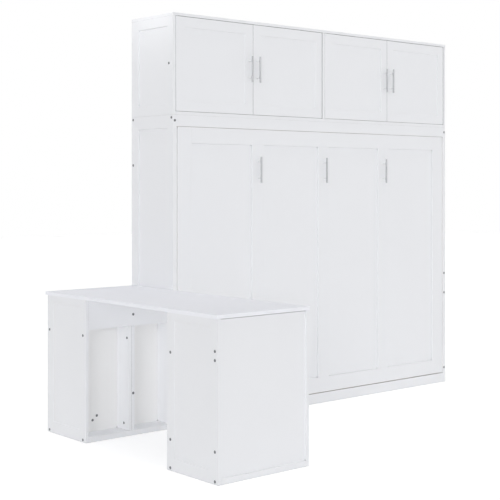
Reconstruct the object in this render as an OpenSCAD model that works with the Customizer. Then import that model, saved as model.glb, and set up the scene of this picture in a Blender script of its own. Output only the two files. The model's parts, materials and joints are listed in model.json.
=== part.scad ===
// Side-folding wall bed in a cabinet with cupboards above, and a double-pedestal desk beside it.
// Built up in cabinet coordinates: x to the right from the cabinet's left side, y back from its
// front, z up from the floor. place() then centres the whole on the floor.

/* [Cabinet] */
// Width of the wall cabinet
cab_w = 2268; // [2150:1:2500]
// Height of the wall cabinet
cab_h = 2256; // [2180:1:2450]
// Depth of the wall cabinet
cab_d = 392; // [385:1:480]
// Thickness of the lower unit's sides
side_t = 25; // [22:1:32]
// Thickness of the shelves, rails and upper boards
board_t = 18; // [16:1:22]
// Thickness of the top board
top_t = 16; // [12:1:22]
// Thickness of the cupboards' back panels
back_t = 6; // [4:1:10]
// Height of the plinth under the bed
plinth_h = 61; // [50:1:90]
// Height of the header rail over the bed
header_h = 63; // [45:1:90]
// Height of the rails that are fixed to the wall
wall_rail_h = 90; // [60:1:120]

/* [Routed frames] */
// Width of a side's front stile
side_front_stile = 52; // [40:1:80]
// Width of a side's rear stile
side_rear_stile = 65; // [40:1:90]
// Height of a side's top rail
side_top_rail = 54; // [40:1:80]
// Height of a side's bottom rail
side_bottom_rail = 60; // [40:1:120]
// Depth of the routed panels in the sides
side_recess = 8; // [4:1:10]
// Width of a door's frame
door_frame = 57; // [40:1:80]
// Depth of the routed panel in a door
door_recess = 4; // [3:1:9]
// How far a routed wall slopes
route_slope = 1; // [0.5:0.5:4]

/* [Bed front] */
// Height of the bed front when stowed
bed_h = 1570; // [1450:1:1620]
// Gap below the bed front
bed_gap = 5; // [4:0.5:8]
// Gap above the bed front
bed_top_gap = 2; // [1.5:0.25:6]
// Gap between the bed front and a cabinet side
bed_side_gap = 9; // [8:0.5:12]
// Thickness of the bed front's frame
front_t = 18; // [16:1:22]
// Width of the bed front's stiles
stile_w = 95; // [70:1:130]
// Height of the bed front's top and bottom rails
rail_h = 90; // [70:1:130]
// Width of the bed front's mullions
mullion_w = 90; // [70:1:120]
// Thickness of the bed front's panels
panel_t = 8; // [6:1:10]
// Width of the moulding on the frame's inner edges
moulding = 2; // [1.5:0.5:6]
// Depth of the rebate that holds a panel
rebate = 9; // [6:1:12]

/* [Bed box] */
// Depth of the bed box behind the front
box_d = 150; // [125:1:180]
// Thickness of the bed box's boards
box_t = 20; // [18:1:25]
// Space between the bed box and a cabinet side
end_gap = 40; // [38:1:60]
// Inset of the bed box from the front's long edges
box_inset = 3; // [2:1:8]
// Number of slats
slat_n = 16; // [12:1:20]
// Width of a slat
slat_w = 70; // [50:1:90]
// Thickness of a slat
slat_t = 18; // [12:1:22]
// Depth of the bearers under the slats
bearer_d = 22; // [18:1:30]
// Width of the bearers and the centre beam
bearer_w = 32; // [25:1:50]

/* [Fold mechanism] */
// Distance of the bed's pivot behind the cabinet front
pivot_y = 60; // [52:1:68]
// Height of the bed's pivot above the bed front's lower edge
pivot_up = 274; // [265:1:290]
// Radius of the pivot pin
pivot_r = 10; // [8:0.5:12]
// Thickness of the steel plates
plate_t = 4; // [3:0.5:5]
// Radius of the cabinet plates' round ends
side_plate_r = 26; // [22:1:30]
// Radius of the bed plates' round ends
end_plate_r = 24; // [20:1:26]
// Radius of the screw holes in the steel plates
plate_hole_r = 3; // [2:0.5:4]
// Strut's cabinet end, behind the pivot
strut_fix_y = 20; // [10:1:40]
// Strut's cabinet end, above the pivot
strut_fix_z = 220; // [200:1:260]
// Strut's bed end, behind the pivot
strut_bed_y = 40; // [30:1:55]
// Strut's bed end, below the pivot
strut_bed_z = 115; // [105:1:125]
// Radius of the strut's cylinder
strut_r = 11; // [9.5:0.5:13]
// Wall of the strut's cylinder
strut_wall = 1.6; // [1:0.1:2.5]
// Radius of the strut's rod
rod_r = 5; // [4:0.5:6]
// Radius of the studs that carry the strut
stud_r = 4; // [3:0.5:5]
// Thickness of a leg's flat bar
leg_t = 5; // [4:0.5:6]
// Width of a leg's flat bar
leg_w = 36; // [30:1:50]
// Distance of the leg's pivot below the bed front's upper edge
leg_down = 46; // [40:1:80]
// Height of a leg's foot
foot_h = 14; // [8:1:25]

/* [Doors and handles] */
// Gap around the doors
door_gap = 2.5; // [2:0.25:4]
// Radius on a door's hung edge
door_edge_r = 5; // [4:0.5:7]
// Radius of the doors' pivot pins
pin_r = 3; // [2.5:0.5:4]
// Length of a bar handle
handle_l = 150; // [120:1:200]
// Distance between a handle's posts
handle_cc = 96; // [80:1:108]
// Radius of a handle's bar
handle_r = 5; // [4:0.5:7]
// Radius of a handle's posts
post_r = 4; // [3:0.5:5]
// Stand-off of a handle's bar from the face
handle_out = 30; // [24:1:40]
// Distance of a handle from a door's free edge
handle_in = 28; // [18:1:50]
// Distance of the bed's handles below its upper edge
bed_handle_down = 230; // [180:1:400]

/* [Desk] */
// Width of the worktop
desk_w = 560; // [500:1:700]
// Length of the worktop
desk_l = 1468; // [1350:1:1700]
// Height of the worktop
desk_h = 750; // [720:1:780]
// Thickness of the worktop
desk_t = 18; // [16:1:30]
// Overhang of the worktop at its free long edge
desk_over = 9; // [3:1:15]
// Overhang of the worktop beside the cabinet
desk_over_cab = 2; // [2:1:10]
// Overhang of the worktop at its near end
desk_over_near = 4; // [1:1:15]
// Overhang of the worktop at the wall
desk_over_wall = 10; // [1:1:15]
// Length of a pedestal
ped_l = 378; // [340:1:420]
// Thickness of the pedestals' bottom boards
ped_bottom_t = 28; // [18:1:36]
// Depth of the open niches beside the kneehole
niche_d = 110; // [80:1:160]
// Height of the rail over a niche
apron_h = 155; // [80:1:200]
// Width of the stiles on a pedestal's sides
ped_stile = 58; // [40:1:80]
// Height of the top rail on a pedestal's sides
ped_top_rail = 38; // [25:1:60]
// Height of the bottom rail on a pedestal's sides
ped_bottom_rail = 62; // [40:1:90]
// Depth of the routed panels in a pedestal's sides
ped_recess = 2.5; // [1.5:0.5:6]
// How far the end panel is set in
end_inset = 8; // [4:1:20]
// Joint between the two boards of a niche divider
divider_joint = 1; // [0:0.5:3]
// How far a niche divider stands off the middle, towards the cabinet
divider_shift = 9.5; // [-30:0.5:30]

/* [Fasteners] */
// Radius of a screw cap
cap_r = 7; // [4:0.5:8]
// Height of a screw cap
cap_h = 1.2; // [0.8:0.1:2]
// Radius of the holes for wall screws
wall_hole_r = 3.5; // [2.5:0.5:5]
// Distance between the wall screws
wall_pitch = 406; // [300:1:600]

/* [Screws in the cabinet] */
// Distance of the corner screws from a side's edges
side_screw_in = 15; // [10:1:20]
// Distance of the lower rear screw below the lower unit's top
side_screw_down = 272; // [150:1:400]
// Distance of the upper unit's side screw behind the front
upper_screw_y = 38; // [15:1:40]
// Height of the upper unit's side screw above the lower unit
upper_screw_up = 281; // [150:1:400]
// Height of the lowest front screw above the plinth
foot_screw_up = 36; // [15:1:120]
// Height of the middle front screws above the strut's cabinet end
mid_screw_up = 38; // [15:1:80]
// Distance between the middle front screws
mid_screw_pitch = 130; // [60:1:200]

/* [Screws in the desk] */
// Distance of a pedestal's outer screws from its edge
outer_screw_in = 22; // [12:1:35]
// Distance of a pedestal's inner screws from its edge at the kneehole
inner_screw_in = 27; // [12:1:40]
// Height of the low screws above a pedestal's bottom board
low_screw_up = 117; // [60:1:250]
// Distance of the middle screws below the rail over the niches
mid_screw_down = 29; // [15:1:80]
// Height of the top screw above that rail's lower edge
top_screw_up = 11; // [5:1:60]
// Height of the rail's screw above its lower edge
rail_screw_up = 61; // [20:1:65]
// Height of the screw in a divider's front edge
divider_screw_z = 223; // [120:1:400]
// Distance of the divider's low side screw from the kneehole
low_side_screw_in = 46; // [10:1:60]
// Height of the divider's low side screw
low_side_screw_z = 62; // [50:1:120]
// Distance of the divider's high side screw from the kneehole
high_side_screw_in = 18; // [10:1:60]
// Distance of the divider's high side screw below the rail over the niches
high_side_screw_down = 63; // [20:1:200]
// Distance of the first screw in a niche's back from the pedestal's side
back_screw_in = 94; // [30:1:120]
// Height of that screw above the bottom board
back_screw_up = 59; // [20:1:200]
// Step across to the second screw in the niche's back
back_screw_dx = 26; // [20:1:60]
// Step up to the second screw in the niche's back
back_screw_dz = 21; // [0:1:60]

/* [Hidden] */
$fn = 48;

white = [0.93, 0.93, 0.94];
white_shade = [0.88, 0.88, 0.9];
timber = [0.82, 0.68, 0.48];
steel = [0.62, 0.64, 0.67];
dark_steel = [0.2, 0.21, 0.23];

fixed_fit = 0.02;      // radial play of a pin in the board that holds it
running_fit = 0.05;    // radial play of a pin in the piece that turns on it
seat_gap = 0.3;        // play between a moving piece and the face that it bears on
over = 1;              // how far a cut runs past the face that it opens

// Levels of the cabinet
bed_z0 = plinth_h + bed_gap;
bed_z1 = bed_z0 + bed_h;
header_z0 = bed_z1 + bed_top_gap;
lower_h = header_z0 + header_h;
door_z0 = lower_h + board_t + door_gap;
door_h = cab_h - top_t - door_gap - door_z0;
inner_w = cab_w - 2 * side_t;

// Cupboards and doors
bay_w = (cab_w - 3 * board_t) / 2;
door_w = (bay_w - 3 * door_gap) / 2;
divider_x = board_t + bay_w;
door_x = [board_t + door_gap, board_t + 2 * door_gap + door_w,
          divider_x + board_t + door_gap, divider_x + board_t + 2 * door_gap + door_w];
pin_y = board_t / 2;
pin_x = [door_x[0] + pin_y, door_x[1] + door_w - pin_y, door_x[2] + pin_y, door_x[3] + door_w - pin_y];
pin_in = 10;           // depth of a pin in the board and in the door

// Bed front
bed_x0 = side_t + bed_side_gap;
bed_w = cab_w - 2 * bed_x0;
recess_y = front_t - panel_t;
field_w = (bed_w - 2 * stile_w - 3 * mullion_w) / 4;
panel_play = 0.5;      // play of a panel in its rebate

// Bed box
box_x0 = side_t + end_gap;
box_l = cab_w - 2 * box_x0;
box_z0 = bed_z0 + box_inset;
box_z1 = bed_z1 - box_inset;
slat_y = front_t + bearer_d;
slat_pitch = (box_l - 2 * box_t) / slat_n;

// Fold mechanism, as [y, z] points
pivot = [pivot_y, bed_z0 + pivot_up];
strut_top = pivot + [strut_fix_y, strut_fix_z];
strut_end = pivot + [strut_bed_y, -strut_bed_z];
strut_end_open = pivot + [strut_bed_z, strut_bed_y];
strut_long = norm(strut_end - strut_top);
strut_short = norm(strut_end_open - strut_top);
strut_turn = atan2(strut_top[0] - strut_end[0], strut_end[1] - strut_top[1]);
strut_x = side_t + end_gap / 2;
eye_r = stud_r + 5;
eye_t = 12;
tube_end = 3;          // slope on the closed end of a strut's tube
strut_play = 4;        // what is left between a strut's ends when it is shortest
tube_l = strut_short - 2 * eye_r - strut_play;
gland_l = 12;
piston_l = 8;
piston_back = strut_short - eye_r - strut_wall - strut_play;   // from the rod's eye to the piston's end
bush_wall = 4;
washer_w = 3;          // how far a stud's shoulder stands out round it
clip_w = 2;            // width and thickness of the clip on a stud's end
leg_pivot = [pivot_y, bed_z1 - leg_down];
leg_l = pivot[1] - 1;  // reaches the floor, less 1, with the bed down
leg_play = 2.6;        // room between a leg and the cabinet's side
leg_x = side_t + leg_play;
leg_head_t = 1.3;      // thickness of a leg stud's head

// Desk, with the wall end at the back of the cabinet
desk_y0 = cab_d - desk_l;
ped_h = desk_h - desk_t;
ped_w = desk_w - desk_over - desk_over_cab;
ped_x0 = desk_over - desk_w;
near_y0 = desk_y0 + desk_over_near;
far_y0 = cab_d - desk_over_wall - ped_l;
ped_inner_w = ped_w - 2 * board_t;
divider_mid = ped_x0 + ped_w / 2 + divider_shift;
divider_x1 = divider_mid - divider_joint / 2 - board_t;

// Centres the cabinet and desk on the floor, with the caps on the cabinet's right side
module place() {
  translate([(desk_w - cab_w - cap_h) / 2, desk_l / 2 - cab_d, 0]) children();
}

// A copy at the cabinet's other end
module other_end() {
  translate([cab_w, 0, 0]) mirror([1, 0, 0]) children();
}

// Both ends of the cabinet
module both_ends() {
  children();
  other_end() children();
}

// Stands a board along y, with its face towards -x
module along_y() {
  mirror([1, -1, 0]) children();
}

// Lays an upright profile along x, with its first axis up
module along_x() {
  mirror([1, 0, -1]) children();
}

// A routed hollow in a face at y = 0, with sloping walls
module routed_hollow(l, h, depth) {
  k = over * route_slope / depth;
  hull() {
    translate([-k, -over, -k]) cube([l + 2 * k, 0.01, h + 2 * k]);
    translate([route_slope, depth - 0.01, route_slope])
      cube([l - 2 * route_slope, 0.01, h - 2 * route_slope]);
  }
}

// A board in the xz plane with a routed panel in its y = 0 face
module routed_board(l, h, t, left, right, bottom, top, depth) {
  difference() {
    cube([l, t, h]);
    translate([left, 0, bottom]) routed_hollow(l - left - right, h - bottom - top, depth);
  }
}

// ---- Lower unit ----

module lower_side() {
  along_y() routed_board(cab_d, lower_h, side_t, side_front_stile, side_rear_stile,
                         side_bottom_rail + plinth_h, side_top_rail + board_t, side_recess);
}

module lower_left_side() {
  color(white) place() lower_side();
}

module lower_right_side() {
  color(white) place() other_end() lower_side();
}

module plinth() {
  color(white) place() translate([side_t, 0, 0]) cube([inner_w, board_t, plinth_h]);
}

module header_rail() {
  color(white) place() translate([side_t, 0, header_z0]) cube([inner_w, board_t, header_h]);
}

module lower_top_board() {
  color(white) place()
    translate([side_t, board_t, lower_h - board_t]) cube([inner_w, cab_d - board_t, board_t]);
}

// Rail under the top board, with a row of holes for wall screws
module rear_top_rail() {
  z0 = lower_h - board_t - wall_rail_h;
  color(white_shade) place() difference() {
    translate([side_t, cab_d - board_t, z0]) cube([inner_w, board_t, wall_rail_h]);
    for (i = [-1.5 : 1.5])
      translate([cab_w / 2 + i * wall_pitch, cab_d + over, z0 + wall_rail_h / 2])
        rotate([90, 0, 0]) cylinder(r = wall_hole_r, h = board_t + 2 * over);
  }
}

module rear_floor_rail() {
  color(white_shade) place()
    translate([side_t, cab_d - board_t, 0]) cube([inner_w, board_t, plinth_h]);
}

// ---- Upper unit ----

module upper_side() {
  translate([0, 0, lower_h])
    along_y() routed_board(cab_d, cab_h - top_t - lower_h, board_t, side_front_stile,
                           side_rear_stile, side_bottom_rail, side_top_rail, side_recess);
}

module upper_left_side() {
  color(white) place() upper_side();
}

module upper_right_side() {
  color(white) place() other_end() upper_side();
}

module pin_holes(z) {
  for (x = pin_x)
    translate([x, pin_y, z]) cylinder(r = pin_r + fixed_fit, h = pin_in + over);
}

module upper_top_board() {
  color(white) place() difference() {
    translate([0, 0, cab_h - top_t]) cube([cab_w, cab_d, top_t]);
    pin_holes(cab_h - top_t - over);
  }
}

module upper_bottom_board() {
  color(white) place() difference() {
    translate([board_t, 0, lower_h]) cube([cab_w - 2 * board_t, cab_d, board_t]);
    pin_holes(lower_h + board_t - pin_in);
  }
}

module upper_divider() {
  color(white) place() translate([divider_x, 0, lower_h + board_t])
    cube([board_t, cab_d - back_t, cab_h - top_t - lower_h - board_t]);
}

// One thin back for each cupboard, meeting behind the divider
module upper_back_panels() {
  color(white_shade) place() both_ends()
    translate([board_t, cab_d - back_t, lower_h + board_t])
      cube([(cab_w - 2 * board_t) / 2, back_t, cab_h - top_t - lower_h - board_t]);
}

// Pins that the doors turn on, each with a collar that fills the gap
module door_pivot_pins() {
  color(steel) place() for (x = pin_x) {
    translate([x, pin_y, door_z0 - door_gap - pin_in]) {
      cylinder(r = pin_r, h = 2 * pin_in + door_gap);
      translate([0, 0, pin_in]) cylinder(r = 2 * pin_r, h = door_gap - seat_gap);
    }
    translate([x, pin_y, door_z0 + door_h - pin_in]) {
      cylinder(r = pin_r, h = 2 * pin_in + door_gap);
      translate([0, 0, pin_in + seat_gap]) cylinder(r = 2 * pin_r, h = door_gap - seat_gap);
    }
  }
}

// ---- Doors ----

// Plan of a door hung on its left edge, with that edge rounded to clear the cabinet side
module door_plan() {
  r = door_edge_r;
  translate([r, 0]) square([door_w - r, board_t]);
  translate([0, r]) square([r, board_t - 2 * r]);
  translate([r, r]) circle(r);
  translate([r, board_t - r]) circle(r);
}

module door_leaf() {
  difference() {
    linear_extrude(door_h) door_plan();
    translate([door_frame, 0, door_frame])
      routed_hollow(door_w - 2 * door_frame, door_h - 2 * door_frame, door_recess);
    for (z = [-over, door_h - pin_in - running_fit])
      translate([pin_y, pin_y, z])
        cylinder(r = pin_r + running_fit, h = pin_in + over + running_fit);
  }
}

// Puts a piece of a door hung on its left edge at door i; odd doors are hung on the right
module at_door(i) {
  hung_right = i % 2;
  translate([door_x[i] + hung_right * door_w, 0, door_z0]) mirror([hung_right, 0, 0]) children();
}

module door(i) {
  color(white) place() at_door(i) door_leaf();
}

module left_outer_door() {
  door(0);
}

module left_inner_door() {
  door(1);
}

module right_inner_door() {
  door(2);
}

module right_outer_door() {
  door(3);
}

// ---- Handles ----

// Upright bar on two posts, centred on its own height, standing out from y = 0
module bar_handle() {
  bevel = 1;
  translate([0, -handle_out, 0]) {
    cylinder(r = handle_r, h = handle_l - 2 * bevel, center = true);
    for (side = [0, 1]) mirror([0, 0, side]) translate([0, 0, handle_l / 2 - bevel])
      cylinder(r1 = handle_r, r2 = handle_r - bevel, h = bevel);
  }
  for (z = [-handle_cc / 2, handle_cc / 2])
    translate([0, 0, z]) rotate([90, 0, 0]) cylinder(r = post_r, h = handle_out);
}

module door_handle(i) {
  color(steel) place() at_door(i)
    translate([door_w - handle_in, 0, door_h / 2]) bar_handle();
}

module left_outer_handle() {
  door_handle(0);
}

module left_inner_handle() {
  door_handle(1);
}

module right_inner_handle() {
  door_handle(2);
}

module right_outer_handle() {
  door_handle(3);
}

// ---- Bed front ----

// Section of a frame piece with its moulded and rebated edge at w
module edge_section(w) {
  polygon([[0, 0], [w - moulding, 0], [w, moulding], [w, recess_y],
           [w - rebate, recess_y], [w - rebate, front_t], [0, front_t]]);
}

// Section of a mullion, moulded and rebated along both edges
module mullion_section() {
  translate([mullion_w / 2, 0]) for (side = [0, 1]) mirror([side, 0])
    translate([-0.01, 0]) edge_section(mullion_w / 2 + 0.01);
}

module stiles() {
  both_ends() translate([bed_x0, 0, bed_z0]) linear_extrude(bed_h) edge_section(stile_w);
}

module rail_blank() {
  translate([bed_x0 + stile_w - rebate, 0, bed_z0]) along_x()
    linear_extrude(bed_w - 2 * stile_w + 2 * rebate) edge_section(rail_h);
}

// Rails, with their ends coped over the stiles' mouldings
module rails() {
  difference() {
    union() {
      rail_blank();
      translate([0, 0, bed_z0 + bed_z1]) mirror([0, 0, 1]) rail_blank();
    }
    stiles();
  }
}

module bed_front_stiles() {
  color(white) place() stiles();
}

module bed_front_rails() {
  color(white) place() rails();
}

module bed_front_mullions() {
  color(white) place() difference() {
    for (i = [1 : 3])
      translate([bed_x0 + stile_w + i * field_w + (i - 1) * mullion_w, 0, bed_z0 + rail_h - rebate])
        linear_extrude(bed_h - 2 * rail_h + 2 * rebate) mullion_section();
    rails();
  }
}

module bed_front_panels() {
  edge = rebate - panel_play;
  color(white) place() for (i = [0 : 3])
    translate([bed_x0 + stile_w + i * (field_w + mullion_w) - edge, recess_y, bed_z0 + rail_h - edge])
      cube([field_w + 2 * edge, panel_t, bed_h - 2 * rail_h + 2 * edge]);
}

module bed_handles() {
  color(steel) place() for (i = [1 : 3])
    translate([bed_x0 + stile_w + i * field_w + (i - 0.5) * mullion_w, 0, bed_z1 - bed_handle_down])
      bar_handle();
}

// ---- Bed box ----

module bed_hinge_rail() {
  color(timber) place() translate([box_x0, front_t, box_z0]) cube([box_l, box_d, box_t]);
}

module bed_free_rail() {
  color(timber) place() translate([box_x0, front_t, box_z1 - box_t]) cube([box_l, box_d, box_t]);
}

// End board of the box, with holes for the pivot bush and the leg's stud
module box_end() {
  difference() {
    translate([box_x0, front_t, box_z0 + box_t])
      cube([box_t, box_d, box_z1 - box_z0 - 2 * box_t]);
    translate([box_x0 - over, pivot[0], pivot[1]]) rotate([0, 90, 0])
      cylinder(r = pivot_r + bush_wall + fixed_fit, h = box_t + 2 * over);
    translate([box_x0 - over, leg_pivot[0], leg_pivot[1]]) rotate([0, 90, 0])
      cylinder(r = stud_r + fixed_fit, h = box_t + 2 * over);
  }
}

module bed_head_end() {
  color(timber) place() box_end();
}

module bed_foot_end() {
  color(timber) place() other_end() box_end();
}

module slat_bearers() {
  color(timber) place() for (z = [box_z0 + box_t, box_z1 - box_t - bearer_w])
    translate([box_x0 + box_t, front_t, z]) cube([box_l - 2 * box_t, bearer_d, bearer_w]);
}

module bed_centre_beam() {
  color(timber) place() translate([box_x0 + box_t, front_t, (box_z0 + box_z1 - bearer_w) / 2])
    cube([box_l - 2 * box_t, bearer_d, bearer_w]);
}

module bed_slats() {
  color(timber) place() for (i = [0 : slat_n - 1])
    translate([box_x0 + box_t + (i + 0.5) * slat_pitch - slat_w / 2, slat_y, box_z0 + box_t + 1])
      cube([slat_w, slat_t, box_z1 - box_z0 - 2 * box_t - 2]);
}

// ---- Fold mechanism ----

// Flat plate with round ends between two [y, z] points, its face at x0
module link_plate(x0, a, b, r, t) {
  turn = atan2(b[1] - a[1], b[0] - a[0]);
  translate([x0, a[0], a[1]]) rotate([turn, 0, 0]) {
    rotate([0, 90, 0]) cylinder(r = r, h = t);
    translate([0, 0, -r]) cube([t, norm(b - a), 2 * r]);
    translate([0, norm(b - a), 0]) rotate([0, 90, 0]) cylinder(r = r, h = t);
  }
}

// Plain round bar along x from a [y, z] point
module cross_pin(x0, at, r, l) {
  translate([x0, at[0], at[1]]) rotate([0, 90, 0]) cylinder(r = r, h = l);
}

// Plate on the cabinet side with the pivot pin and the strut's upper stud
module side_plate() {
  difference() {
    link_plate(side_t, pivot, strut_top, side_plate_r, plate_t);
    for (f = [0.25, 0.5, 0.75])
      cross_pin(side_t - over, pivot + f * (strut_top - pivot), plate_hole_r, plate_t + 2 * over);
  }
  face = side_t + plate_t - 0.01;
  cross_pin(face, pivot, pivot_r, end_gap - plate_t + box_t);
  cross_pin(face, pivot, pivot_r + bush_wall, end_gap - 2 * plate_t - bush_wall);
  cross_pin(face, strut_top, stud_r, strut_x + eye_t / 2 + clip_w - side_t - plate_t);
  cross_pin(face, strut_top, stud_r + washer_w,
            strut_x - eye_t / 2 - seat_gap - side_t - plate_t);
  cross_pin(strut_x + eye_t / 2 + seat_gap, strut_top, stud_r + clip_w, clip_w);
}

module cabinet_hinge_plates() {
  color(dark_steel) place() both_ends() side_plate();
}

// Plate on the box's end with the pivot bush and the strut's lower stud
module end_plate() {
  difference() {
    union() {
      link_plate(box_x0 - plate_t, pivot, strut_end, end_plate_r, plate_t);
      cross_pin(box_x0 - plate_t, pivot, pivot_r + bush_wall, plate_t + box_t);
    }
    cross_pin(box_x0 - plate_t - over, pivot, pivot_r + running_fit, plate_t + box_t + 2 * over);
    cross_pin(box_x0 - plate_t - over, (pivot + strut_end) / 2, plate_hole_r, plate_t + 2 * over);
  }
  cross_pin(strut_x + eye_t / 2 + seat_gap, strut_end, stud_r,
            box_x0 - plate_t - strut_x - eye_t / 2 - seat_gap + 0.01);
}

module bed_hinge_plates() {
  color(dark_steel) place() both_ends() end_plate();
}

// Gas strut's cylinder along z from its eye at the origin, closed but for the rod's gland
module strut_cylinder() {
  inner = strut_r - strut_wall;
  difference() {
    union() {
      translate([0, 0, eye_r - 2]) rotate_extrude() polygon([
        [0, 0], [strut_r - tube_end, 0], [strut_r, tube_end], [strut_r, tube_l + 1],
        [strut_r - 1, tube_l + 2], [rod_r + running_fit, tube_l + 2],
        [rod_r + running_fit, tube_l + 2 - gland_l], [inner, tube_l + 2 - gland_l],
        [inner, strut_wall + 2], [0, strut_wall + 2]]);
      rotate([0, 90, 0]) cylinder(r = eye_r, h = eye_t, center = true);
    }
    rotate([0, 90, 0]) cylinder(r = stud_r + running_fit, h = eye_t + 2 * over, center = true);
  }
}

// The strut's rod, measured back from its eye, with the piston on its inner end
module strut_rod() {
  translate([0, 0, strut_long]) difference() {
    union() {
      rotate([0, 90, 0]) cylinder(r = eye_r, h = eye_t, center = true);
      translate([0, 0, -piston_back]) cylinder(r = rod_r, h = piston_back - eye_r + 2);
      translate([0, 0, -piston_back]) cylinder(r = strut_r - strut_wall - seat_gap, h = piston_l);
    }
    rotate([0, 90, 0]) cylinder(r = stud_r + running_fit, h = eye_t + 2 * over, center = true);
  }
}

module at_strut() {
  translate([strut_x, strut_top[0], strut_top[1]]) rotate([strut_turn, 0, 0]) children();
}

module left_strut_cylinder() {
  color(dark_steel) place() at_strut() strut_cylinder();
}

module left_strut_rod() {
  color(steel) place() at_strut() strut_rod();
}

module right_strut_cylinder() {
  color(dark_steel) place() other_end() at_strut() strut_cylinder();
}

module right_strut_rod() {
  color(steel) place() other_end() at_strut() strut_rod();
}

// Shouldered studs on the box's ends that the legs hang from
module leg_studs() {
  shoulder = leg_x + leg_t + seat_gap;
  head = leg_x - seat_gap;
  color(steel) place() both_ends() {
    cross_pin(shoulder, leg_pivot, 3 * stud_r, box_x0 - shoulder);
    cross_pin(head, leg_pivot, stud_r, box_x0 + box_t - head);
    cross_pin(head - leg_head_t, leg_pivot, 2 * stud_r, leg_head_t);
  }
}

// Flat bar that hangs plumb from its stud and ends in a wider foot
module leg() {
  difference() {
    union() {
      cross_pin(leg_x, leg_pivot, leg_w / 2, leg_t);
      translate([leg_x, leg_pivot[0] - leg_w / 2, leg_pivot[1] - leg_l])
        cube([leg_t, leg_w, leg_l]);
      translate([leg_x, leg_pivot[0] - leg_w, leg_pivot[1] - leg_l])
        cube([leg_t, 2 * leg_w, foot_h]);
    }
    cross_pin(leg_x - over, leg_pivot, stud_r + running_fit, leg_t + 2 * over);
  }
}

module left_leg() {
  color(steel) place() leg();
}

module right_leg() {
  color(steel) place() other_end() leg();
}

// ---- Desk ----

module desk_worktop() {
  color(white) place() translate([-desk_w, desk_y0, ped_h]) cube([desk_w, desk_l, desk_t]);
}

// Outer side of a pedestal, standing at its own y = 0
module pedestal_side() {
  along_y() routed_board(ped_l, ped_h, board_t, ped_stile, ped_stile, ped_bottom_rail,
                         ped_top_rail, ped_recess);
}

// Pieces of a pedestal, given with the kneehole towards +y from y = 0
module ped_rail() {
  translate([ped_x0 + board_t, ped_l - board_t, ped_h - apron_h])
    cube([ped_inner_w, board_t, apron_h]);
}

module ped_inner_back() {
  translate([ped_x0 + board_t, ped_l - niche_d - board_t, ped_bottom_t])
    cube([ped_inner_w, board_t, ped_h - ped_bottom_t]);
}

// Two boards side by side, notched behind the rail
module ped_divider() {
  difference() {
    for (x = [divider_x1, divider_x1 + board_t + divider_joint])
      translate([x, ped_l - niche_d, ped_bottom_t])
        cube([board_t, niche_d, ped_h - ped_bottom_t]);
    ped_rail();
  }
}

module ped_bottom() {
  translate([ped_x0 + board_t, 0, 0]) cube([ped_inner_w, ped_l, ped_bottom_t]);
}

// Turns a pedestal's pieces so that its kneehole side is towards -y
module far_ped() {
  translate([0, far_y0 + ped_l, 0]) mirror([0, 1, 0]) children();
}

module near_ped() {
  translate([0, near_y0, 0]) children();
}

module near_left_side() {
  color(white) place() near_ped() translate([ped_x0, 0, 0]) pedestal_side();
}

module near_right_side() {
  color(white) place() near_ped()
    translate([ped_x0 + ped_w, 0, 0]) mirror([1, 0, 0]) pedestal_side();
}

module near_end_panel() {
  color(white) place() near_ped() translate([ped_x0 + board_t, end_inset, ped_bottom_t])
    cube([ped_inner_w, board_t, ped_h - ped_bottom_t]);
}

module near_kneehole_rail() {
  color(white) place() near_ped() ped_rail();
}

module near_divider() {
  color(white) place() near_ped() ped_divider();
}

module near_inner_back() {
  color(white_shade) place() near_ped() ped_inner_back();
}

module near_bottom() {
  color(white) place() near_ped() ped_bottom();
}

module far_left_side() {
  color(white) place() far_ped() translate([ped_x0, 0, 0]) pedestal_side();
}

module far_right_side() {
  color(white) place() far_ped()
    translate([ped_x0 + ped_w, 0, 0]) mirror([1, 0, 0]) pedestal_side();
}

module far_wall_panel() {
  color(white) place() far_ped() translate([ped_x0 + board_t, 0, ped_bottom_t])
    cube([ped_inner_w, board_t, ped_h - ped_bottom_t]);
}

module far_kneehole_rail() {
  color(white) place() far_ped() ped_rail();
}

module far_divider() {
  color(white) place() far_ped() ped_divider();
}

module far_inner_back() {
  color(white_shade) place() far_ped() ped_inner_back();
}

module far_bottom() {
  color(white) place() far_ped() ped_bottom();
}

// ---- Fasteners ----

// Low domed cap, standing up from z = 0
module cap() {
  cylinder(r = cap_r, h = cap_h / 2);
  translate([0, 0, cap_h / 2]) cylinder(r1 = cap_r, r2 = cap_r * 0.7, h = cap_h / 2);
}

// Cap on a face that looks towards -x
module side_cap(y, z) {
  translate([0, y, z]) rotate([0, -90, 0]) cap();
}

module cabinet_caps() {
  side_cap(side_screw_in, lower_h - side_screw_in);
  side_cap(cab_d - side_screw_in, lower_h - side_screw_in);
  side_cap(cab_d - side_screw_in, lower_h - side_screw_down);
  side_cap(upper_screw_y, lower_h + upper_screw_up);
  mid_z = strut_top[1] + mid_screw_up;
  for (z = [plinth_h + foot_screw_up, mid_z, mid_z + mid_screw_pitch, header_z0 + header_h / 2])
    translate([side_t / 2, 0, z]) rotate([90, 0, 0]) cap();
}

// Caps on a pedestal's outer side, with the kneehole towards +y
module pedestal_caps() {
  for (y = [outer_screw_in, ped_l - inner_screw_in],
       z = [ped_bottom_t / 2, ped_h - apron_h - mid_screw_down])
    translate([ped_x0, 0, 0]) side_cap(y, z);
}

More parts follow.
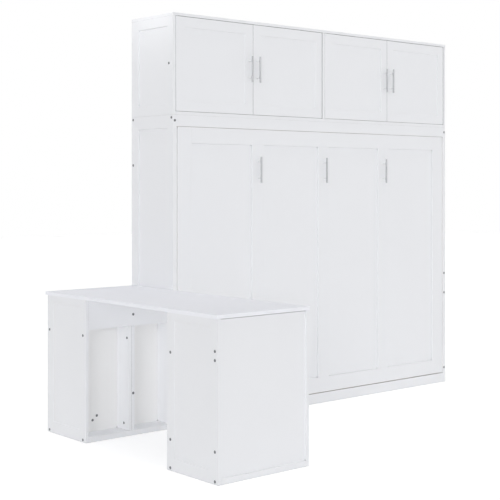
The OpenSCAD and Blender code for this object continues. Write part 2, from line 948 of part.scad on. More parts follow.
// Caps in the kneehole: on the rail, the divider's front edge and left face, and the niche's back
module kneehole_caps() {
  for (z = [divider_screw_z, ped_h - apron_h + rail_screw_up])
    translate([divider_mid + (board_t + divider_joint) / 2, ped_l, z]) rotate([-90, 0, 0]) cap();
  translate([divider_x1, 0, 0]) {
    side_cap(ped_l - low_side_screw_in, low_side_screw_z);
    side_cap(ped_l - high_side_screw_in, ped_h - apron_h - high_side_screw_down);
  }
  for (i = [0, 1])
    translate([ped_x0 + board_t + back_screw_in + i * back_screw_dx, ped_l - niche_d,
               ped_bottom_t + back_screw_up + i * back_screw_dz])
      rotate([-90, 0, 0]) cap();
}

module screw_caps() {
  color(dark_steel) place() {
    both_ends() cabinet_caps();
    near_ped() {
      pedestal_caps();
      kneehole_caps();
      translate([ped_x0, 0, 0]) {
        for (y = [outer_screw_in, ped_l - inner_screw_in])
          side_cap(y, ped_bottom_t + low_screw_up);
        side_cap(outer_screw_in, ped_h - apron_h + top_screw_up);
      }
    }
    far_ped() {
      pedestal_caps();
      kneehole_caps();
    }
  }
}

lower_left_side();
lower_right_side();
plinth();
header_rail();
lower_top_board();
rear_top_rail();
rear_floor_rail();
upper_left_side();
upper_right_side();
upper_top_board();
upper_bottom_board();
upper_divider();
upper_back_panels();
door_pivot_pins();
cabinet_hinge_plates();
screw_caps();
desk_worktop();
near_left_side();
near_right_side();
near_end_panel();
near_kneehole_rail();
near_divider();
near_inner_back();
near_bottom();
far_left_side();
far_right_side();
far_wall_panel();
far_kneehole_rail();
far_divider();
far_inner_back();
far_bottom();
left_outer_door();
left_inner_door();
right_inner_door();
right_outer_door();
left_outer_handle();
left_inner_handle();
right_inner_handle();
right_outer_handle();
bed_front_stiles();
bed_front_rails();
bed_front_mullions();
bed_front_panels();
bed_hinge_rail();
bed_free_rail();
bed_head_end();
bed_foot_end();
slat_bearers();
bed_slats();
bed_centre_beam();
bed_handles();
bed_hinge_plates();
leg_studs();
left_leg();
right_leg();
left_strut_cylinder();
left_strut_rod();
right_strut_cylinder();
right_strut_rod();
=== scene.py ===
"""A white wall bed that folds sideways out of its cabinet, with cupboards above and a desk beside it."""

import json
import math

import bmesh
import bpy
from mathutils import Matrix, Vector


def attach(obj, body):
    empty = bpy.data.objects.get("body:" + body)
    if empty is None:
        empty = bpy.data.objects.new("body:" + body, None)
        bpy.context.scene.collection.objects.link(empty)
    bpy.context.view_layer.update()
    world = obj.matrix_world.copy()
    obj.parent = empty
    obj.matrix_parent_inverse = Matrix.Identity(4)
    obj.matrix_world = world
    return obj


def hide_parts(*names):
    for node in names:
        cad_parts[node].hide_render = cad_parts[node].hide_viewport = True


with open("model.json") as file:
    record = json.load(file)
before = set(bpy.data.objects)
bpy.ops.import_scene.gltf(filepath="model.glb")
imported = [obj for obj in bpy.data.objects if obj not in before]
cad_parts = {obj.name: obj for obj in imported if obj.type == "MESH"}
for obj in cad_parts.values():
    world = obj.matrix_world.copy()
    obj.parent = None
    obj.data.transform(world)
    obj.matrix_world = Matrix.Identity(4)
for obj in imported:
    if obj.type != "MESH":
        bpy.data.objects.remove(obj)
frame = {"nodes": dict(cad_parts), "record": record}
nodes = frame["nodes"]
bpy.context.view_layer.update()

# ---- Camera ----
# A level camera a little above head height of a seated person, well to the left of the bed,
# on a long lens. Its back is shifted down so that the uprights stay parallel.
CAMERA_PLACE = (-4.5466, -4.628, 1.328)
CAMERA_TURN = 0.7063
LENS_MM = 82.15
BACK_SHIFT = -0.1334

camera = bpy.data.objects.new("camera", bpy.data.cameras.new("camera"))
bpy.context.collection.objects.link(camera)
camera.location = CAMERA_PLACE
camera.rotation_euler = (math.pi / 2, 0, -CAMERA_TURN)
camera.data.lens = LENS_MM
camera.data.shift_y = BACK_SHIFT
bpy.context.scene.camera = camera

# ---- Room: floor and light ----
# A seamless white studio: a matt white floor and an even white surround, with wide banks of soft
# light from overhead, the camera's side and the front. Fills that throw no shadow keep the niches
# nearly as light as the fronts, and a strip lamp lifts the top of the cabinet's left side.
FLOOR_SIZE = 40.0
FLOOR_DROP = 0.0005  # keeps the floor clear of the undersides that stand on it
FLOOR_WHITE = "#F4F4F4"
FLOOR_GLOW = 0.3
SURROUND_LEVEL = 0.2
MIRRORED_LEVEL = 0.55  # what glossy surfaces mirror of the surround
BANK_DISTANCE = 6.0
SOFT_BANKS = [  # name, where it comes from, spread in degrees, strength, throws a shadow
    ("overhead_bank", (-0.05, -0.08, 1.0), 60.0, 1.0, True),
    ("overhead_fill", (0.0, 0.0, 1.0), 40.0, 0.42, False),
    ("camera_side_bank", (-0.74, -0.66, 0.2), 24.0, 0.45, True),
    ("front_bank", (0.05, -1.0, 0.15), 14.0, 0.32, True),
    ("camera_side_fill", (-0.7, -0.7, 0.15), 40.0, 0.76, False),
    ("desk_side_fill", (-0.8, 0.6, 0.15), 40.0, 0.66, False),
    ("bed_side_fill", (0.7, -0.7, 0.15), 40.0, 0.52, False),
    ("wall_side_fill", (0.7, 0.7, 0.15), 40.0, 0.56, False),
]
STRIP_PLACE = (-1.11, 0.54, 2.31)  # beside the cabinet's upper left corner, facing it
STRIP_LENGTH = 0.42
STRIP_WIDTH = 0.1
STRIP_WATTS = 0.24


def linear(hex_colour):
    channels = [int(hex_colour[i : i + 2], 16) / 255 for i in (1, 3, 5)]
    return [c / 12.92 if c <= 0.04045 else ((c + 0.055) / 1.055) ** 2.4 for c in channels] + [1.0]


def add_node(tree, kind, settings=None, links=None):
    """A node with its settings, by socket or property name, and its links, each from (node, output)."""
    node = tree.nodes.new(kind)
    for name, value in (settings or {}).items():
        if isinstance(name, int) or name in node.inputs:
            node.inputs[name].default_value = value
        else:
            setattr(node, name, value)
    for name, (source, output) in (links or {}).items():
        tree.links.new(source.outputs[output], node.inputs[name])
    return node


def new_material(name):
    material = bpy.data.materials.new(name)
    material.use_nodes = True
    material.node_tree.nodes.clear()
    return material, material.node_tree


def place_lamp(name, lamp, place, side):
    """Hangs a lamp whose light comes from the given side."""
    hung = bpy.data.objects.new(name, lamp)
    bpy.context.collection.objects.link(hung)
    hung.location = place
    hung.rotation_euler = Vector(side).to_track_quat("Z", "Y").to_euler()
    return hung


# Matt floor paint: to the eye a white ground without shine or edge, a little grey under the object.
floor_paint, tree = new_material("studio_floor_paint")
path = add_node(tree, "ShaderNodeLightPath")
matt = add_node(tree, "ShaderNodeBsdfDiffuse", {"Color": linear(FLOOR_WHITE)})
glow_level = add_node(
    tree, "ShaderNodeMath", {"operation": "MULTIPLY", 1: FLOOR_GLOW}, {0: (path, "Is Camera Ray")}
)
glow = add_node(tree, "ShaderNodeEmission", {"Color": (1, 1, 1, 1)}, {"Strength": (glow_level, 0)})
both = add_node(tree, "ShaderNodeAddShader", None, {0: (matt, 0), 1: (glow, 0)})
add_node(tree, "ShaderNodeOutputMaterial", None, {"Surface": (both, 0)})

floor_mesh = bpy.data.meshes.new("studio_floor")
half = FLOOR_SIZE / 2
floor_corners = [(x * half, y * half, -FLOOR_DROP) for x, y in ((-1, -1), (1, -1), (1, 1), (-1, 1))]
floor_mesh.from_pydata(floor_corners, [], [(0, 1, 2, 3)])
floor = bpy.data.objects.new("studio_floor", floor_mesh)
bpy.context.collection.objects.link(floor)
floor_mesh.materials.append(floor_paint)

surround = bpy.data.worlds.new("white_surround")
bpy.context.scene.world = surround
surround.use_nodes = True
tree = surround.node_tree
tree.nodes.clear()
path = add_node(tree, "ShaderNodeLightPath")
mirrored = add_node(
    tree,
    "ShaderNodeMapRange",
    {"To Min": SURROUND_LEVEL, "To Max": MIRRORED_LEVEL},
    {"Value": (path, "Is Glossy Ray")},
)
level = add_node(
    tree, "ShaderNodeMapRange", {"To Max": 1.0}, {"Value": (path, "Is Camera Ray"), "To Min": (mirrored, 0)}
)
background = add_node(tree, "ShaderNodeBackground", {"Color": (1, 1, 1, 1)}, {"Strength": (level, 0)})
add_node(tree, "ShaderNodeOutputWorld", None, {"Surface": (background, 0)})

for name, side, spread, strength, shadow in SOFT_BANKS:
    bank = bpy.data.lights.new(name, "SUN")
    bank.energy = strength
    bank.angle = math.radians(spread)
    bank.use_shadow = shadow
    place_lamp(name, bank, Vector(side) * BANK_DISTANCE, side)

strip = bpy.data.lights.new("upper_side_strip", "AREA")
strip.shape = "RECTANGLE"
strip.size, strip.size_y = STRIP_LENGTH, STRIP_WIDTH
strip.energy = STRIP_WATTS
strip_lamp = place_lamp("upper_side_strip", strip, STRIP_PLACE, (-1, 0, 0))
strip_lamp.visible_camera = False

bpy.context.scene.view_settings.view_transform = "Standard"

# ---- Painted boards of the cabinet ----
# Medium-density fibreboard, cut, routed and sprayed with white satin lacquer. The edges are sanded
# round before spraying, so each board ends in a soft line, and the lacquer dries with a fine peel.
BOARD_WHITE = "#E6E7EA"
BOARD_ROUGHNESS = 0.42
BOARD_PEEL = 0.00004
EDGE_ROUND = 0.0012
ROUND_STEPS = 2
SHARP_DEG = 35  # edges that turn by more than this are sanded
SAME_POINT = 1e-5  # points closer than this are one corner
PEEL_SIZE = 0.004  # lacquer peel, drawn twice as coarse as the real 2 mm so that it shows
MOTTLE_SIZE = 0.18  # slow change of the gun's passes over a board
MOTTLE_SPAN = (0.3, 0.7)  # the part of the noise that nearly all of a board shows
MOTTLE_DARKEST = 0.985  # as a share of the white
MOTTLE_DULLER = 0.04
MOTTLE_GLOSSIER = 0.03
LACQUER_IOR = 1.47
# Painted shade: the lacquer's white is darkened in joints and corners, where ambient occlusion finds other
# faces close by.
PAINTED_SHADE_REACH = 0.012  # how far in from a joint the painted shade that greys the lacquer reaches
PAINTED_SHADE_DARKEST = 0.2  # what the painted shade leaves of the white in the depth of a joint
FULL_SHADE_OPENNESS = 0.2  # as open as this or less, a joint is at its darkest
NO_SHADE_OPENNESS = 0.5  # a flat face beside a joint is at least this open, and unshaded


def remap(tree, source, low, high, from_low=0.0, from_high=1.0):
    """Turns a value between from_low and from_high into one between low and high, and no further."""
    spans = {"From Min": from_low, "From Max": from_high, "To Min": low, "To Max": high}
    return add_node(tree, "ShaderNodeMapRange", spans, {"Value": source})


def noise(tree, scale, where, **settings):
    return add_node(tree, "ShaderNodeTexNoise", {"Scale": scale, **settings}, {"Vector": where})


def relief(tree, height, strength, depth):
    return add_node(tree, "ShaderNodeBump", {"Strength": strength, "Distance": depth}, {"Height": height})


def add_surface(tree, settings, links):
    shader = add_node(tree, "ShaderNodeBsdfPrincipled", settings, links)
    add_node(tree, "ShaderNodeOutputMaterial", None, {"Surface": (shader, 0)})


def sprayed_lacquer(name, white, roughness, peel_height, shine=0.5):
    """Sprayed lacquer over fibreboard: an even white whose gloss drifts a little, with a fine peel and
    painted shade in its joints.
    """
    material, tree = new_material(name)
    place = (add_node(tree, "ShaderNodeTexCoord"), "Object")
    mottle = (noise(tree, 1 / MOTTLE_SIZE, place, Detail=3.0, Roughness=0.5), "Fac")
    darkest = [c * MOTTLE_DARKEST for c in linear(white)[:3]] + [1.0]
    tone = add_node(tree, "ShaderNodeMix", {"data_type": "RGBA", 6: darkest, 7: linear(white)}, {0: mottle})
    gloss = remap(tree, mottle, roughness - MOTTLE_GLOSSIER, roughness + MOTTLE_DULLER, *MOTTLE_SPAN)
    peel = noise(tree, 1 / PEEL_SIZE, place, Detail=1.0, Roughness=0.4)
    bump = relief(tree, (peel, "Fac"), strength=0.5, depth=peel_height)
    # Painted shade: the white is darkened where ambient occlusion finds other faces close by, in joints and
    # corners.
    occlusion = add_node(tree, "ShaderNodeAmbientOcclusion", {"samples": 8, "Distance": PAINTED_SHADE_REACH})
    painted_shade = remap(tree, (occlusion, "AO"), PAINTED_SHADE_DARKEST, 1.0, FULL_SHADE_OPENNESS, NO_SHADE_OPENNESS)
    shaded_tone = add_node(
        tree, "ShaderNodeVectorMath", {"operation": "SCALE"}, {0: (tone, 2), "Scale": (painted_shade, 0)}
    )
    add_surface(
        tree,
        {"IOR": LACQUER_IOR, "Specular IOR Level": shine},
        {"Base Color": (shaded_tone, 0), "Roughness": (gloss, 0), "Normal": (bump, 0)},
    )
    return material


def paint(material, *names):
    for name in names:
        for material_slot in nodes[name].material_slots:
            material_slot.material = material


def ease_edges(width, *names):
    """Rounds the sharp edges of flat boards, as sandpaper does."""
    for name in names:
        board = nodes[name]
        weld = board.modifiers.new("joined_corners", "WELD")
        weld.merge_threshold = SAME_POINT
        round_over = board.modifiers.new("sanded_edges", "BEVEL")
        round_over.width = width
        round_over.segments = ROUND_STEPS
        round_over.limit_method = "ANGLE"
        round_over.angle_limit = math.radians(SHARP_DEG)


# Satin lacquer: to the eye an even cool white with a soft sheen, and fine grey lines of painted shade at the
# joints.
satin_lacquer = sprayed_lacquer("satin_lacquer_on_fibreboard", BOARD_WHITE, BOARD_ROUGHNESS, BOARD_PEEL)
lower_unit = ["lower_left_side", "lower_right_side", "plinth", "header_rail", "lower_top_board"]
lower_unit += ["rear_top_rail", "rear_floor_rail"]
paint(satin_lacquer, *lower_unit)
ease_edges(EDGE_ROUND, *lower_unit)

# ---- Cupboards above the bed ----
# The same lacquered fibreboard: two sides, top, bottom and divider, screwed to each other, with a thin
# hardboard back to each cupboard that is painted on its good face and stays a little duller.
upper_unit = ["upper_left_side", "upper_right_side", "upper_top_board", "upper_bottom_board", "upper_divider"]
paint(satin_lacquer, *upper_unit)
ease_edges(EDGE_ROUND, *upper_unit)

HARDBOARD_WHITE = "#E9E9E9"
HARDBOARD_ROUGHNESS = 0.55
HARDBOARD_PEEL = 0.00006

# Roller paint on hardboard: to the eye a neutral white that is flatter and coarser than the lacquer.
painted_hardboard = sprayed_lacquer(
    "painted_hardboard", HARDBOARD_WHITE, HARDBOARD_ROUGHNESS, HARDBOARD_PEEL
)
paint(painted_hardboard, "upper_back_panels")

# ---- Cupboard doors ----
# Shaker doors routed out of one board, with a sloping shoulder round the sunk field. They hang on
# plain steel pins in their corners and are sprayed like the cabinet.
doors = ["left_outer_door", "left_inner_door", "right_inner_door", "right_outer_door"]
paint(satin_lacquer, *doors)
ease_edges(EDGE_ROUND, *doors)

ZINC_GREY = "#B9BCC0"
ZINC_ROUGHNESS = (0.32, 0.46)
SPANGLE_SIZE = 0.003

# Zinc plate: to the eye a soft grey metal whose shine changes from one small crystal to the next.
zinc_plate, tree = new_material("zinc_plated_steel")
place = (add_node(tree, "ShaderNodeTexCoord"), "Object")
spangle = add_node(tree, "ShaderNodeTexVoronoi", {"Scale": 1 / SPANGLE_SIZE}, {"Vector": place})
dull = remap(tree, (spangle, "Distance"), *ZINC_ROUGHNESS)
add_surface(tree, {"Base Color": linear(ZINC_GREY), "Metallic": 1.0}, {"Roughness": (dull, 0)})
paint(zinc_plate, "door_pivot_pins", "leg_studs")

# ---- Bar handles ----
# Solid bars of brushed stainless steel on two posts, screwed from inside. The brushing runs along the bar,
# which draws its highlight out into a fine upright grain, and the posts are painted a paler grey that stands
# in for the light they catch.
STEEL_GREY = "#AEAFB2"
# Painted light: the posts' paler grey stands in for the light they catch; bar and posts are one steel.
POST_PAINTED_LIGHT = "#ECEDEE"
STEEL_ROUGHNESS = (0.42, 0.56)
BAR_BACK = 0.3172  # the plane behind the bar where the posts begin
BRUSH_LINE = 0.0006  # brush lines, drawn coarser than the real ones, which are too fine to show
BRUSH_LENGTH = 0.05
BRUSH_DEPTH = 0.00003

# Brushed steel: to the eye a mid grey bar with a long pale highlight, and feet behind it painted paler as
# painted light.
brushed_steel, tree = new_material("brushed_stainless_steel")
place = (add_node(tree, "ShaderNodeTexCoord"), "Object")
brush_scale = (1 / BRUSH_LINE, 1 / BRUSH_LINE, 1 / BRUSH_LENGTH)
stretch = add_node(tree, "ShaderNodeMapping", {"Scale": brush_scale}, {"Vector": place})
lines = (noise(tree, 1.0, (stretch, 0), Detail=2.0), "Fac")
axes = add_node(tree, "ShaderNodeSeparateXYZ", None, {"Vector": place})
# Painted light: beyond the plane behind the bar, the posts get a paler grey than the bar.
on_post = add_node(tree, "ShaderNodeMath", {"operation": "GREATER_THAN", 1: BAR_BACK}, {0: (axes, "Y")})
greys = {"data_type": "RGBA", 6: linear(STEEL_GREY), 7: linear(POST_PAINTED_LIGHT)}
grey = add_node(tree, "ShaderNodeMix", greys, {0: (on_post, 0)})
dull = remap(tree, lines, *STEEL_ROUGHNESS)
bump = relief(tree, lines, strength=0.25, depth=BRUSH_DEPTH)
add_surface(
    tree, {"Metallic": 1.0}, {"Base Color": (grey, 2), "Roughness": (dull, 0), "Normal": (bump, 0)}
)
handles = ["left_outer_handle", "left_inner_handle", "right_inner_handle", "right_outer_handle"]
paint(brushed_steel, *handles, "bed_handles")

# ---- Bed front ----
# Stiles, rails and mullions of lacquered fibreboard round four thin panels. The frame has a small
# moulded edge, and the panels lie in its rebates.
FRAME_ROUND = 0.0008

frame_pieces = ["bed_front_stiles", "bed_front_rails", "bed_front_mullions"]
paint(satin_lacquer, *frame_pieces)
ease_edges(FRAME_ROUND, *frame_pieces)
paint(satin_lacquer, "bed_front_panels")

# ---- Bed box and slats ----
# Planed pine under clear matt varnish: long rails, end boards, bearers and a beam, with broad slats
# screwed across them. Its straw-coloured grain runs along each board.
PINE_LIGHT = "#E3C795"
PINE_DARK = "#CBA368"
VARNISH_ROUGHNESS = 0.55
VARNISH_IOR = 1.5
RING_WIDTH = 0.006
BANDS_PER_RING = 0.35  # a dark streak is about three ring widths across
BAND_SPAN = (0.38, 0.62)  # the part of the noise over which light wood turns dark
FIBRES_PER_RING = 3.0
FIBRE_DEPTH = 0.0002
GRAIN_STRETCH = 0.28
BOX_BOARD_ROUND = 0.002
SLAT_ROUND = 0.003


def varnished_pine(name, along):
    """Pine whose grain runs along one axis: 0, 1 or 2 for x, y or z."""
    material, tree = new_material(name)
    place = (add_node(tree, "ShaderNodeTexCoord"), "Object")
    scale = [1 / RING_WIDTH] * 3
    scale[along] = 1 / GRAIN_STRETCH
    stretch = (add_node(tree, "ShaderNodeMapping", {"Scale": scale}, {"Vector": place}), "Vector")
    rings = noise(tree, BANDS_PER_RING, stretch, Detail=4.0, Distortion=0.6)
    fibres = noise(tree, FIBRES_PER_RING, stretch, Detail=3.0)
    bands = remap(tree, (rings, "Fac"), 0.0, 1.0, *BAND_SPAN)
    woods = {"data_type": "RGBA", 6: linear(PINE_LIGHT), 7: linear(PINE_DARK)}
    wood = add_node(tree, "ShaderNodeMix", woods, {0: (bands, 0)})
    bump = relief(tree, (fibres, "Fac"), strength=0.3, depth=FIBRE_DEPTH)
    add_surface(
        tree,
        {"Roughness": VARNISH_ROUGHNESS, "IOR": VARNISH_IOR},
        {"Base Color": (wood, 2), "Normal": (bump, 0)},
    )
    return material


# Varnished pine: to the eye warm straw with darker streaks along the board, and almost no shine.
pine_along = varnished_pine("matt_varnished_pine_long", 0)
pine_up = varnished_pine("matt_varnished_pine_across", 2)
long_boards = ["bed_hinge_rail", "bed_free_rail", "slat_bearers", "bed_centre_beam"]
paint(pine_along, *long_boards)
paint(pine_up, "bed_head_end", "bed_foot_end", "bed_slats")
ease_edges(BOX_BOARD_ROUND, *long_boards)
ease_edges(SLAT_ROUND, "bed_slats")

# ---- Hinge plates and gas struts ----
# Steel plates with a black powder coat carry the bed's pins, bushes and strut studs. The struts are
# black painted cylinders with hard-chromed rods.
COAT_BLACK = "#26272A"
COAT_GRAIN = 0.0018  # powder texture, drawn coarser than the real 0.5 mm so that it shows
COAT_IOR = 1.5
BLACK_ROUGHNESS = 0.48
BLACK_DEPTH = 0.0001


def grained_coat(name, colour, roughness, ior, grain, detail, strength, depth):
    """One plain colour with a fine even grain in its surface."""
    material, tree = new_material(name)
    place = (add_node(tree, "ShaderNodeTexCoord"), "Object")
    bump = relief(tree, (noise(tree, 1 / grain, place, Detail=detail), "Fac"), strength, depth)
    add_surface(
        tree, {"Base Color": linear(colour), "Roughness": roughness, "IOR": ior}, {"Normal": (bump, 0)}
    )
    return material


# Black powder coat: to the eye a dull near-black with a faint orange-skin texture.
powder_black = grained_coat(
    "black_powder_coat", COAT_BLACK, BLACK_ROUGHNESS, COAT_IOR, COAT_GRAIN,
    detail=2.0, strength=0.4, depth=BLACK_DEPTH,
)
paint(powder_black, "cabinet_hinge_plates", "bed_hinge_plates", "left_strut_cylinder", "right_strut_cylinder")

CHROME = "#DDDFE2"
CHROME_ROUGHNESS = (0.06, 0.16)
POLISH_SIZE = 0.01

# Hard chrome: to the eye a mirror-bright rod, slightly clouded here and there.
hard_chrome, tree = new_material("hard_chrome_rod")
place = (add_node(tree, "ShaderNodeTexCoord"), "Object")
polish = noise(tree, 1 / POLISH_SIZE, place, Detail=2.0)
dull = remap(tree, (polish, "Fac"), *CHROME_ROUGHNESS)
add_surface(tree, {"Base Color": linear(CHROME), "Metallic": 1.0}, {"Roughness": (dull, 0)})
paint(hard_chrome, "left_strut_rod", "right_strut_rod")

# ---- Legs ----
# Flat steel bars that hang plumb from studs on the box's ends, powder coated white to match the
# front. The coat is smoother than the black one and lies softly over the bar's edges.
LEG_WHITE = "#DFE0E3"
LEG_ROUGHNESS = 0.38
LEG_DEPTH = 0.00006

# White powder coat: to the eye a slightly greyer white than the boards, with a soft gloss.
powder_white = grained_coat(
    "white_powder_coat", LEG_WHITE, LEG_ROUGHNESS, COAT_IOR, COAT_GRAIN,
    detail=1.0, strength=0.3, depth=LEG_DEPTH,
)
paint(powder_white, "left_leg", "right_leg")

# ---- Desk ----
# A worktop on two pedestals, all of lacquered fibreboard and screwed together through the faces. The
# pedestals are routed and plain boards like the cabinet's, with thin hardboard backs to the niches.
WORKTOP_WHITE = "#EDEEF3"
WORKTOP_ROUGHNESS = 0.8
WORKTOP_PEEL = 0.00002
WORKTOP_SHINE = 0.02
WORKTOP_ROUND = 0.002

# Matt lacquer: to the eye a flat, slightly bluish white that mirrors nothing of the front behind it.
worktop_lacquer = sprayed_lacquer(
    "matt_lacquer_on_worktop", WORKTOP_WHITE, WORKTOP_ROUGHNESS, WORKTOP_PEEL, shine=WORKTOP_SHINE
)
paint(worktop_lacquer, "desk_worktop")
ease_edges(WORKTOP_ROUND, "desk_worktop")
pedestal_boards = ["left_side", "right_side", "kneehole_rail", "divider", "bottom"]
pedestals = [f"{end}_{board}" for end in ("near", "far") for board in pedestal_boards]
paint(satin_lacquer, *pedestals)
ease_edges(EDGE_ROUND, *pedestals)
paint(painted_hardboard, "near_inner_back", "far_inner_back", "far_wall_panel")

# The near end panel is cut a little short of the worktop, which leaves a thin dark joint there, and
# its other edges are closed by the lacquer.
END_JOINT = 0.003
ON_EDGE = 1e-4  # a point this close to an edge's level lies on it


def new_piece(name, mesh, material, body):
    data = bpy.data.meshes.new(name)
    mesh.to_mesh(data)
    mesh.free()
    data.materials.append(material)
    piece = bpy.data.objects.new(name, data)
    bpy.context.collection.objects.link(piece)
    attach(piece, body)
    return piece


end_board = bmesh.new()
end_board.from_mesh(nodes["near_end_panel"].data)
bmesh.ops.remove_doubles(end_board, verts=end_board.verts, dist=SAME_POINT)
upper = max(point.co.z for point in end_board.verts)
front = min(point.co.y for point in end_board.verts)
for point in end_board.verts:
    if point.co.z > upper - ON_EDGE:
        point.co.z -= END_JOINT
front_edge = [
    edge
    for edge in end_board.edges
    if all(point.co.z > upper - 2 * END_JOINT and point.co.y < front + ON_EDGE for point in edge.verts)
]
bmesh.ops.bevel(end_board, geom=front_edge, offset=EDGE_ROUND, segments=ROUND_STEPS, affect="EDGES")
short_end_panel = new_piece("short_end_panel", end_board, satin_lacquer, "cabinet_and_desk")
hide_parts("near_end_panel")

# ---- Screw caps ----
# Grey moulded caps pressed over the connector screws that draw the boards together: a flat rim, a
# fine groove and a low dome. Each detailed cap takes the place of a plain one.
CAP_GREY = "#6B6D71"
CAP_ROUGHNESS = 0.45
ABS_IOR = 1.53
CAP_PROFILE = [  # radius and height as shares of the plain cap's, from the board to the middle
    (1.0, 0.0),
    (1.0, 0.32),
    (0.97, 0.44),
    (0.82, 0.5),
    (0.79, 0.4),
    (0.76, 0.5),
    (0.66, 0.76),
    (0.48, 0.92),
    (0.24, 0.99),
    (0.0, 1.0),
]
CAP_SIDES = 28
CAP_TOP = 0.85  # a plain cap narrows to its top, whose points lie within this share of its radius
MOULD_GRAIN = 0.0008  # spark-eroded mould grain, drawn coarser than the real 0.1 mm
MOULD_DEPTH = 0.00005

# Moulded plastic: to the eye a small mid grey button with a dull, finely pitted skin.
moulded_cap = grained_coat(
    "moulded_grey_abs", CAP_GREY, CAP_ROUGHNESS, ABS_IOR, MOULD_GRAIN,
    detail=2.0, strength=0.3, depth=MOULD_DEPTH,
)


def points_middle(points):
    low = Vector([min(point[axis] for point in points) for axis in range(3)])
    high = Vector([max(point[axis] for point in points) for axis in range(3)])
    return (low + high) / 2


def separate_solids(node):
    """The lists of points of a node's separate solids."""
    mesh = bmesh.new()
    mesh.from_mesh(nodes[node].data)
    bmesh.ops.remove_doubles(mesh, verts=mesh.verts, dist=SAME_POINT)
    left = set(mesh.verts)
    solids = []
    while left:
        queue = [left.pop()]
        solid = []
        while queue:
            point = queue.pop()
            solid.append(point.co.copy())
            for edge in point.link_edges:
                other = edge.other_vert(point)
                if other in left:
                    left.remove(other)
                    queue.append(other)
        solids.append(solid)
    mesh.free()
    return sorted(solids, key=lambda points: tuple(round(value, 4) for value in points_middle(points)))


def join_rings(mesh, rings, smooth_rings):
    """Closes each ring of points to the next with faces, smooth ones up to the ring that is given."""
    for index, (lower, upper) in enumerate(zip(rings, rings[1:])):
        for i in range(len(lower)):
            k = (i + 1) % len(lower)
            mesh.faces.new((lower[i], lower[k], upper[k], upper[i])).smooth = index < smooth_rings


def add_turned(mesh, profile, sides, place):
    """Adds a shape turned from a profile of (radius, height) that starts open and ends on the axis."""
    turns = [2 * math.pi * i / sides for i in range(sides)]
    rings = []
    for radius, height in profile[:-1]:
        spots = [Vector((radius * math.cos(turn), radius * math.sin(turn), height)) for turn in turns]
        rings.append([mesh.verts.new(place @ spot) for spot in spots])
    tip = mesh.verts.new(place @ Vector((0, 0, profile[-1][1])))
    join_rings(mesh, rings, len(rings))
    for i in range(sides):
        mesh.faces.new((rings[-1][i], rings[-1][(i + 1) % sides], tip)).smooth = True


caps = bmesh.new()
for points in separate_solids("screw_caps"):
    middle = points_middle(points)
    reach = [max(abs(point[axis] - middle[axis]) for point in points) for axis in range(3)]
    thin = reach.index(min(reach))
    radius, half_height = max(reach), reach[thin]
    narrow = [point for point in points if (point - middle).length < CAP_TOP * radius]
    outward = Vector((0, 0, 0))
    outward[thin] = math.copysign(1, sum(point[thin] - middle[thin] for point in narrow))
    seat = middle - outward * half_height
    profile = [(r * radius, h * 2 * half_height) for r, h in CAP_PROFILE]
    turn = outward.to_track_quat("Z", "Y").to_matrix().to_4x4()
    add_turned(caps, profile, CAP_SIDES, Matrix.Translation(seat) @ turn)
domed_caps = new_piece("domed_screw_caps", caps, moulded_cap, "cabinet_and_desk")
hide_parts("screw_caps")

# ---- Screws in the plates and slats ----
# Zinc-plated pan-head screws hold the hinge plates, and countersunk ones hold each slat to the
# bearers and the beam. Each has a hexagon socket pressed into its head.
PAN_HEAD = 0.0048
PAN_HEIGHT = 0.0022
PAN_SIDES = 24
PLATE_SCREWS = (0.25, 0.5, 0.75)  # shares of the way from the bed's pivot to the strut's upper stud
SLAT_HEAD = 0.004
SLAT_HEAD_RISE = 0.0003
SLAT_HEAD_SIDES = 12
SLAT_SCREW_SPREAD = 0.25  # of the slat's width, to either side of its middle
HEAD_DOME = [(1.0, 0.0), (1.0, 0.35), (0.93, 0.7), (0.75, 0.95)]  # shares of the radius and height
HEAD_SOCKET = [(0.59, 1.0), (0.5, 0.9), (0.5, 0.15)]  # the hexagon's chamfer, rim and floor, likewise
PLATE = 0.004  # thickness of the hinge plates
STRUT_FOOT = Vector((0, 0.04, -0.115))  # from the bed's pivot to the stud at the strut's lower end


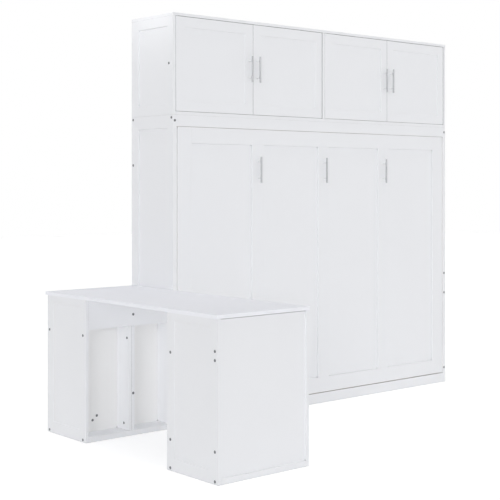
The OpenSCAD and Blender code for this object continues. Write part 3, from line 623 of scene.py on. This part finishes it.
def add_socket_head(mesh, radius, height, sides, seat, outward):
    """Adds a low domed screw head with a hexagon socket, on its seat and facing outward."""
    place = Matrix.Translation(seat) @ outward.to_track_quat("Z", "Y").to_matrix().to_4x4()
    turns = [2 * math.pi * i / sides for i in range(sides)]
    sixth = math.pi / 3
    rings = []
    for wide, level in HEAD_DOME + HEAD_SOCKET:
        ring = []
        for turn in turns:
            reach = wide * radius
            if (wide, level) in HEAD_SOCKET:
                reach *= math.cos(sixth / 2) / math.cos(turn % sixth - sixth / 2)
            spot = Vector((reach * math.cos(turn), reach * math.sin(turn), level * height))
            ring.append(mesh.verts.new(place @ spot))
        rings.append(ring)
    join_rings(mesh, rings, len(HEAD_DOME))
    mesh.faces.new(rings[-1])


joints = {joint["name"]: joint for joint in frame["record"]["behaviour"]["joints"]}
pivot = Vector(joints["bed_fold"]["pos_m"])
strut_top = Vector(joints["left_strut_swing"]["pos_m"])
side_face = max(abs(point.co.x - pivot.x) for point in nodes["cabinet_hinge_plates"].data.vertices)
box_face = max(abs(point.co.x - pivot.x) for point in nodes["bed_head_end"].data.vertices)
cabinet_heads = bmesh.new()
bed_heads = bmesh.new()
for end in (-1, 1):
    for share in PLATE_SCREWS:
        seat = pivot.lerp(strut_top, share)
        seat.x = pivot.x + end * (side_face - PLATE)
        add_socket_head(cabinet_heads, PAN_HEAD, PAN_HEIGHT, PAN_SIDES, seat, Vector((-end, 0, 0)))
    seat = pivot + STRUT_FOOT / 2
    seat.x = pivot.x + end * (box_face + PLATE)
    add_socket_head(bed_heads, PAN_HEAD, PAN_HEIGHT, PAN_SIDES, seat, Vector((end, 0, 0)))
bearers = [points_middle(points).z for points in separate_solids("slat_bearers")]
beam = points_middle(separate_solids("bed_centre_beam")[0]).z
for points in separate_solids("bed_slats"):
    middle = points_middle(points)
    spread = 2 * SLAT_SCREW_SPREAD * max(point.x - middle.x for point in points)
    back = max(point.y for point in points)
    spots = [(middle.x + side * spread, level) for side in (-1, 1) for level in bearers] + [(middle.x, beam)]
    for x, level in spots:
        seat = Vector((x, back, level))
        add_socket_head(bed_heads, SLAT_HEAD, SLAT_HEAD_RISE, SLAT_HEAD_SIDES, seat, Vector((0, 1, 0)))
new_piece("plate_screws", cabinet_heads, zinc_plate, "cabinet_and_desk")
new_piece("slat_and_plate_screws", bed_heads, zinc_plate, "bed")

# ---- Final update ----
# Brings every placement in the scene up to date.
bpy.context.view_layer.update()
